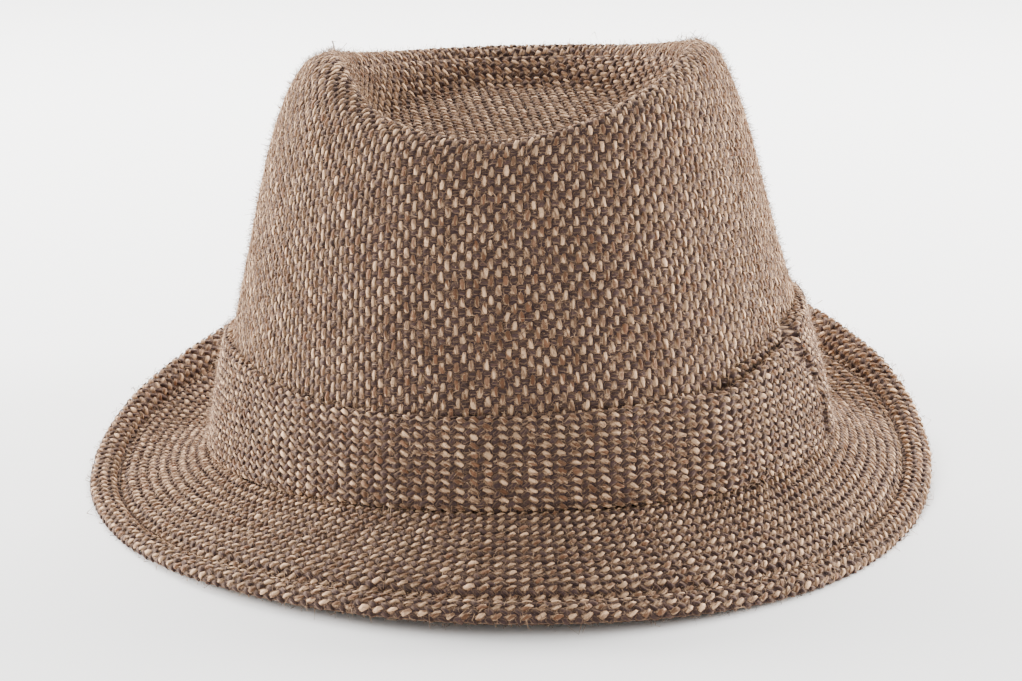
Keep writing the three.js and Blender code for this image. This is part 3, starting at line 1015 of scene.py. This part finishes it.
def grid_shell(name, outer, inner, weave_at, material, ring=True):
    """A closed shell of cloth from two grids of points, with a column for each place round it. A
    ring's last column is its first one again."""
    wrap = len(outer) - 1
    columns, rows = wrap if ring else wrap + 1, outer.shape[1]
    points = np.stack([outer[:columns], inner[:columns]], 2).reshape(-1, 3)
    c, r = (a.ravel() for a in np.meshgrid(np.arange(wrap), np.arange(rows - 1), indexing="ij"))
    column, first, last = np.arange(wrap), np.zeros(wrap, int), np.full(wrap, rows - 1)

    def four(*corners):
        points = [((c % columns) * rows + r) * 2 + face for c, r, face in corners]
        # The outer face takes one half of the bake map and the inner face the other.
        bake = [
            np.stack([c / wrap, (r / (rows - 1) + face) / 2.02 + 0.002], -1)
            for c, r, face in corners
        ]
        yarns = [weave_at[c, r] for c, r, _ in corners]
        return np.stack(points, -1), np.stack(bake, -2), np.stack(yarns, -2)

    after = column + 1
    parts = [
        four((c, r, 0), (c + 1, r, 0), (c + 1, r + 1, 0), (c, r + 1, 0)),
        four((c, r, 1), (c, r + 1, 1), (c + 1, r + 1, 1), (c + 1, r, 1)),
        four((column, first, 0), (column, first, 1), (after, first, 1), (after, first, 0)),
        four((column, last, 0), (after, last, 0), (after, last, 1), (column, last, 1)),
    ]
    if not ring:
        row = np.arange(rows - 1)
        near, far = np.zeros(rows - 1, int), np.full(rows - 1, wrap)
        parts.append(four((near, row, 0), (near, row + 1, 0), (near, row + 1, 1), (near, row, 1)))
        parts.append(four((far, row, 0), (far, row, 1), (far, row + 1, 1), (far, row + 1, 0)))
    quads, uv, lattice = (np.concatenate([part[k] for part in parts]) for k in range(3))
    maps = {"OFBake": uv.reshape(-1, 2), "Weave": lattice.reshape(-1, 2)}
    return build_mesh(name, points, quads, NO_TRIANGLES, material, None, maps)


def lattice_of(key, angle, share):
    """The number of warps and wefts from the middle of a cut, at places on its face."""
    x, y = CUTS[key].flat(angle, share)
    return np.stack([x, y], -1) @ np.linalg.inv(np.stack(GRAIN[key][::-1]))


# Loose fibres, in millimetres and shares: how many are long and how much longer they are, the
# spread of their lengths, how many stand off the cloth, how far those stand off it and how far the
# lying ones do, their half widths, how far in from a cut's edge they start, how high over the
# cloth, how far round they curl over, and how much narrower they are at their tips.
FIBRES = dict(
    long=0.05, longer=1.8, lengths=(5.0, 0.27), standing=0.6, stand=(0.4, 0.9), lie=(0.0, 0.22),
    half_width=(0.045, 0.075), inside=0.5, start=0.58, curl=2.2, taper=0.8,
)
FIBRE_PLACES = (0.0, 0.5, 1.0)


def fuzz(name, places, context, rng):
    """Loose fibres over the yarns: thin curved slips, each of two lengths. Some of them lie on the
    cloth, the others stand off it, and a few are long. They are why the cloth looks pale and soft
    where the eye skims it. Real ones are about 0.03 mm thick, and these are drawn three to five
    times as wide, so that fewer of them give the same haze."""
    points, fibres, quads, start = [], [], [], 0
    for key, keep in places:
        cut = CUTS[key]
        angle, share = (a.ravel() for a in np.meshgrid(cut.angles, cut.shares))
        flat = np.stack(cut.flat(angle, share), -1)
        low, high = flat.min(0), flat.max(0)
        count = int(np.prod(high - low) / 100 * context.scene.trilby_cloth.fuzz)
        spot = rng.uniform(low, high, (count, 2))
        angle, share, inside = cut.place(spot[:, 0], spot[:, 1])
        spot = spot[(inside > FIBRES["inside"]) & keep(angle, share, "warp")]
        n = len(spot)
        long = rng.random(n) < FIBRES["long"]
        turn, bend = rng.uniform(0, 2 * np.pi, n), rng.normal(0, 1.0, n)
        length = rng.gamma(*FIBRES["lengths"], n) * np.where(long, FIBRES["longer"], 1.0)
        standing = rng.random(n) < FIBRES["standing"]
        off = [rng.uniform(*FIBRES[way], n) for way in ("stand", "lie")]
        stand = length * np.where(standing, *off)
        wide = rng.uniform(*FIBRES["half_width"], n)
        tone = rng.random((n, 2))
        for t in FIBRE_PLACES:
            heading = turn + bend * t
            x = spot[:, 0] + np.cos(heading) * length * t
            y = spot[:, 1] + np.sin(heading) * length * t
            lift = FIBRES["start"] + stand * np.sin(t * FIBRES["curl"])
            for sign in (-1, 1):
                aside = sign * wide * (1 - FIBRES["taper"] * t)
                ax, ay = x - np.sin(heading) * aside, y + np.cos(heading) * aside
                points.append(laid(cut, ax, ay, lift))
                fibres.append(np.stack([tone[:, 0], tone[:, 1], np.full(n, t)], -1))
        for k in range(len(FIBRE_PLACES) - 1):
            a = start + 2 * k * n + np.arange(n)
            quads.append(np.stack([a, a + n, a + 3 * n, a + 2 * n], -1))
        start += 2 * len(FIBRE_PLACES) * n
    quads, points, fibres = (np.concatenate(part) for part in (quads, points, fibres))
    cells = math.ceil(math.sqrt(len(quads)))
    cell = np.stack([np.arange(len(quads)) % cells, np.arange(len(quads)) // cells], -1)
    square = np.array([(0.1, 0.1), (0.9, 0.1), (0.9, 0.9), (0.1, 0.9)])
    maps = {"OFBake": ((cell[:, None, :] + square) / cells).reshape(-1, 2)}
    build_mesh(name, points, quads, NO_TRIANGLES, wool(context)["fibre"], {"marl": fibres}, maps)


def everywhere(angle, share, kind):
    return np.full(np.shape(angle), True)


# How far behind the band's upper edge the crown side's yarns go on, and from where on the band's
# face its upper edge rolls in.
UNDER_BAND = 3.5
BAND_ROLL = 1.75


def above_band(angle, share, kind):
    """Where the crown side shows, which is above the band."""
    return (1 + np.minimum(share, 0)) * wall_height(angle) > band_tall(angle) - UNDER_BAND


# How far each kind of yarn stays from the band's slanted end. Past that end, these also set how
# long the strip of painted shadow is.
LAP_EDGES = {"warp": 1.5, "weft": 0.5}


def clear_of_lap_and_shadow(angle, share, kind):
    """Where the band shows: not close to its own slanted end, on either side of it, and also on
    the lower layer's upper edge where the upper layer leaves it bare. Past the end, the yarns are
    left off the lower layer for a strip, as a painted shadow of the end that lies over it."""
    height, edge = band_share(share), LAP_EDGES[kind]
    past = past_end(angle, height)
    # Past the end, the lower layer is left bare for a strip, longer at the band's edges: its dark
    # weft and ground there are a painted shadow of the end lying over it.
    bare_for_shadow = LAP_SHADOW_STRIP * edge * (1 + LAP_SHADOW_STRIP_BOW * (2 * height - 1) ** 2)
    rolled = (share > BAND_ROLL) & (past < 0)
    return (short_of_end(angle, height) > edge) & ((past > bare_for_shadow) | rolled)


def shell_places(key, columns, shares):
    """The angles and shares of a closed shell of cloth round the hat, with the points of its face
    there and the ways out of it."""
    angle = np.linspace(-180, 180, columns + 1)[:, None]
    angle, share = np.broadcast_arrays(angle, np.array(shares)[None, :])
    cut = CUTS[key]
    return angle, share, cut.face(angle, share), way_out(cut.face, angle, share, cut.step)


def cover(base, node, keys, keep, context, rng, **rests):
    """Lays the yarns over a shell of cloth that stands for a node, on each of its cuts."""
    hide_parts(node)
    for kind in FLOATS:
        for key in keys:
            weave(key, kind, context, keep, rng)
    width, length, area = CUTS[keys[0]].size()


def crown_piece(key, columns, shares, context, keep, rng):
    """One piece of the crown: a shell of cloth, with the yarns of both its grains over it."""
    angle, share, point, way = shell_places(key, columns, shares)
    outer, inner = settled(point - way * GROUND_DEPTH), settled(point - way * CROWN_CLOTH)
    lattice = lattice_of(key, angle, share)
    base = grid_shell(key + "_cloth", outer, inner, lattice, wool(context)["ground"])
    cover(base, key, [key], keep, context, rng)


def numbers(context, after=0):
    """Random numbers that are the same on each run. Every step has its own."""
    return np.random.default_rng(context.scene.trilby_cloth.seed + after)


class TRILBY_OT_crown_side(bpy.types.Operator):
    """Weaves the crown side, from the band up over the lip"""

    bl_idname = "trilby.crown_side"
    bl_label = "Crown side"

    def execute(self, context):
        shares = [*np.linspace(-0.996, -0.1, 18), *np.linspace(-0.07, SEAM_INSET - 0.001, 15)]
        crown_piece("crown_side", 150, shares, context, above_band, numbers(context))
        return {"FINISHED"}


class TRILBY_OT_crown_tip(bpy.types.Operator):
    """Weaves the crown's tip, pressed in below the lip"""

    bl_idname = "trilby.crown_tip"
    bl_label = "Crown tip"

    def execute(self, context):
        shares = [*np.linspace(SEAM_INSET + 0.001, 0.3, 18), *np.linspace(0.34, 0.985, 9)]
        crown_piece("crown_tip", 120, shares, context, everywhere, numbers(context, 1))
        return {"FINISHED"}


def stitch_brim(cut, material, rng):
    """The thread that holds the brim's layers together, in the groove inside its edge."""
    inset = 1 - (STITCH_INSET - EDGE_ROUND) / (brim_reach(cut.angles) - EDGE_ROUND)
    groove = cut.total - np.array([np.interp(i, cut.shares, run) for i, run in zip(inset, cut.run)])
    count = int(cut.round[-1] / STITCH_PITCH)
    x = (np.arange(count) + 0.5) * cut.round[-1] / count
    inward = np.interp(x, cut.round, groove)
    heading = np.arctan2(-np.gradient(inward), np.full(count, STITCH_PITCH))
    size = rng.normal(1, UNEVEN["end"], (3, count)) * np.array(STITCH_HALF_SIZE)[:, None]
    rise = np.full(count, STITCH_RISE)
    ply = (rng.uniform(0, 6, count), STITCH_TWIST)
    centre = np.stack([x, -inward], -1)
    return lay_floats(
        "brim_stitches", cut, "weft", centre, heading, size, rise, ply, material, rng
    )


class TRILBY_OT_brim(bpy.types.Operator):
    """Weaves the brim's two faces round its stitched edge"""

    bl_idname = "trilby.brim"
    bl_label = "Brim"

    def execute(self, context):
        shares = [*np.linspace(1.5, 1, 5), *np.linspace(0.97, 0.6, 15)]
        shares += [*np.linspace(0.55, 0, 9), -0.07, -0.15]
        angle, share, top, way = shell_places("brim_top", 150, shares)
        cut, rng = CUTS["brim_top"], numbers(context, 2)
        under = cut.face(angle, 3 - share)
        down = way_out(cut.face, angle, 3 - share, cut.step)
        outer, inner = settled(top - way * GROUND_DEPTH), settled(under - down * GROUND_DEPTH)
        lattice = lattice_of("brim_top", angle, share)
        base = grid_shell("brim_cloth", outer, inner, lattice, wool(context)["ground"])
        cover(base, "brim", ["brim_top", "brim_under"], everywhere, context, rng)
        stitch_brim(cut, wool(context)["thread"], rng)
        return {"FINISHED"}


class TRILBY_OT_hat_band(bpy.types.Operator):
    """Weaves the bias band, which laps over its own start"""

    bl_idname = "trilby.hat_band"
    bl_label = "Hat band"

    def execute(self, context):
        cut, rng = CUTS["hat_band"], numbers(context, 3)
        columns = np.linspace(BAND_ANGLES[0], BAND_ANGLES[1] - 0.15, 240)[:, None]
        steps = [*np.linspace(0.05, 1, 4), *np.linspace(1.15, 1.85, 7), *np.linspace(2, 2.95, 4)]
        columns, steps = np.broadcast_arrays(columns, np.array(steps)[None, :])
        # Over the lap, the columns lean until the last of them is the band's slanted end.
        past = np.clip((columns - LAP) / (BAND_END["angle"][0] - BAND_START), 0, 1)
        angle = columns - past * (BAND_ANGLES[1] - band_end(band_share(steps)))
        point = cut.face(angle, steps)
        way = way_out(cut.face, angle, steps, cut.step)
        # The inner face is level from row to row, and stops a tenth of the rounding short.
        height = BAND_ROUND * 0.1 + (band_tall(angle) - 0.2 * BAND_ROUND) * (steps - 0.05) / 2.9
        wall = wall_face(angle, height / wall_height(angle))
        inner = settled(wall + outward(angle) * band_inside(angle)[..., None])
        outer, lattice = settled(point - way * GROUND_DEPTH), lattice_of("hat_band", angle, steps)
        ground = wool(context)["ground"]
        base = grid_shell("hat_band_cloth", outer, inner, lattice, ground, ring=False)
        keys, rests = ["hat_band"], {"rests_on": ["crown_side"]}
        cover(base, "hat_band", keys, clear_of_lap_and_shadow, context, rng, **rests)
        return {"FINISHED"}


class TRILBY_OT_fuzz(bpy.types.Operator):
    """Adds the loose fibres that lie over the yarns"""

    bl_idname = "trilby.fuzz"
    bl_label = "Loose fibres"

    def execute(self, context):
        rng = numbers(context, 4)
        crown = [("crown_side", above_band), ("crown_tip", everywhere)]
        fuzz("crown_fibres", crown, context, rng)
        rest = [("brim_top", everywhere), ("hat_band", clear_of_lap_and_shadow)]
        fuzz("brim_fibres", rest, context, rng)
        return {"FINISHED"}


# The stage, in metres: where the lights are and how large, what they point at, and how far the
# floor reaches.
LIGHTS = {
    "top_light": dict(place=(0.0, 0.75, 0.75), size=(1.0, 0.6)),
    "left_light": dict(place=(-1.05, 0.42, 0.2), size=(0.6, 0.28)),
    "right_light": dict(place=(1.05, 0.42, 0.18), size=(0.6, 0.28)),
}
LIT_POINT = (0, 0, 0.06)
FLOOR_REACH = 3.0
FLOOR_CORNERS = ((-1, -1), (1, -1), (1, 1), (-1, 1))


def add_light(name, place, size, power):
    lamp = bpy.data.lights.new(name, "AREA")
    lamp.shape, lamp.size, lamp.size_y, lamp.energy = "RECTANGLE", *size, power
    light = bpy.data.objects.new(name, lamp)
    light.location = place
    light.rotation_mode = "QUATERNION"
    light.rotation_quaternion = (Vector(LIT_POINT) - Vector(place)).to_track_quat("-Z", "Y")
    bpy.context.scene.collection.objects.link(light)


class TRILBY_OT_stage(bpy.types.Operator):
    """Lays the pale floor and sets up the camera and soft lights"""

    bl_idname = "trilby.stage"
    bl_label = "Stage"

    def execute(self, context):
        stage = context.scene.trilby_stage
        mesh = bpy.data.meshes.new("floor")
        corners = [(x * FLOOR_REACH, y * FLOOR_REACH, 0) for x, y in FLOOR_CORNERS]
        mesh.from_pydata(corners, [], [(0, 1, 2, 3)])
        mesh.materials.append(matt_paper("matt paper, rolled", context.scene.trilby_colours))
        floor = bpy.data.objects.new("floor", mesh)
        context.scene.collection.objects.link(floor)

        world = bpy.data.worlds.new("white surroundings")
        context.scene.world = world
        world.use_nodes = True
        sky = world.node_tree.nodes["Background"]
        sky.inputs["Color"].default_value = (1, 1, 1, 1)
        sky.inputs["Strength"].default_value = stage.sky

        for name, light in LIGHTS.items():
            add_light(name, **light, power=getattr(stage, name))

        elevation, roll = math.radians(CAMERA["elevation"]), math.radians(CAMERA["roll"])
        forward = np.array([0, math.cos(elevation), -math.sin(elevation)])
        up = np.array([0, math.sin(elevation), math.cos(elevation)])
        right = np.array([1.0, 0, 0])
        place = np.array(CAMERA["target"]) - CAMERA["distance"] * forward
        across = right * math.cos(roll) + up * math.sin(roll)
        above = up * math.cos(roll) - right * math.sin(roll)
        lens = bpy.data.cameras.new("camera")
        lens.sensor_width = 36.0
        lens.lens = CAMERA["focal"] / PHOTO_WIDTH * lens.sensor_width
        lens.clip_start, lens.clip_end = 0.05, 20.0
        camera = bpy.data.objects.new("camera", lens)
        axes = Matrix([TURN @ across, TURN @ above, TURN @ -forward]).transposed()
        camera.matrix_world = Matrix.Translation((stood(place) - MIDDLE) * MM) @ axes.to_4x4()
        context.scene.collection.objects.link(camera)
        context.scene.camera = camera
        return {"FINISHED"}


class TRILBY_PT_panel(bpy.types.Panel):
    """The trilby's settings and the steps that make it"""

    bl_label = "Trilby"
    bl_idname = "TRILBY_PT_panel"
    bl_space_type = "VIEW_3D"
    bl_region_type = "UI"
    bl_category = "Trilby"

    def draw(self, context):
        layout = self.layout
        for key, group in GROUPS.items():
            for name in group.__annotations__:
                layout.prop(getattr(context.scene, key), name)
        for step in STEPS:
            layout.operator(step.bl_idname)


STEPS = (
    TRILBY_OT_crown_side,
    TRILBY_OT_crown_tip,
    TRILBY_OT_brim,
    TRILBY_OT_hat_band,
    TRILBY_OT_fuzz,
    TRILBY_OT_stage,
)
GROUPS = {"trilby_cloth": TrilbyCloth, "trilby_colours": TrilbyColours, "trilby_stage": TrilbyStage}


def register():
    for cls in (*GROUPS.values(), *STEPS, TRILBY_PT_panel):
        bpy.utils.register_class(cls)
    for name, group in GROUPS.items():
        setattr(bpy.types.Scene, name, PointerProperty(type=group))


def unregister():
    for name in GROUPS:
        delattr(bpy.types.Scene, name)
    for cls in (TRILBY_PT_panel, *reversed(STEPS), *GROUPS.values()):
        bpy.utils.unregister_class(cls)


def main():
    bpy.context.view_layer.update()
    register()
    for step in STEPS:
        group, name = step.bl_idname.split(".")
        if getattr(getattr(bpy.ops, group), name)() != {"FINISHED"}:
            raise RuntimeError(step.bl_label + " didn't finish")


if __name__ == "__main__":
    main()
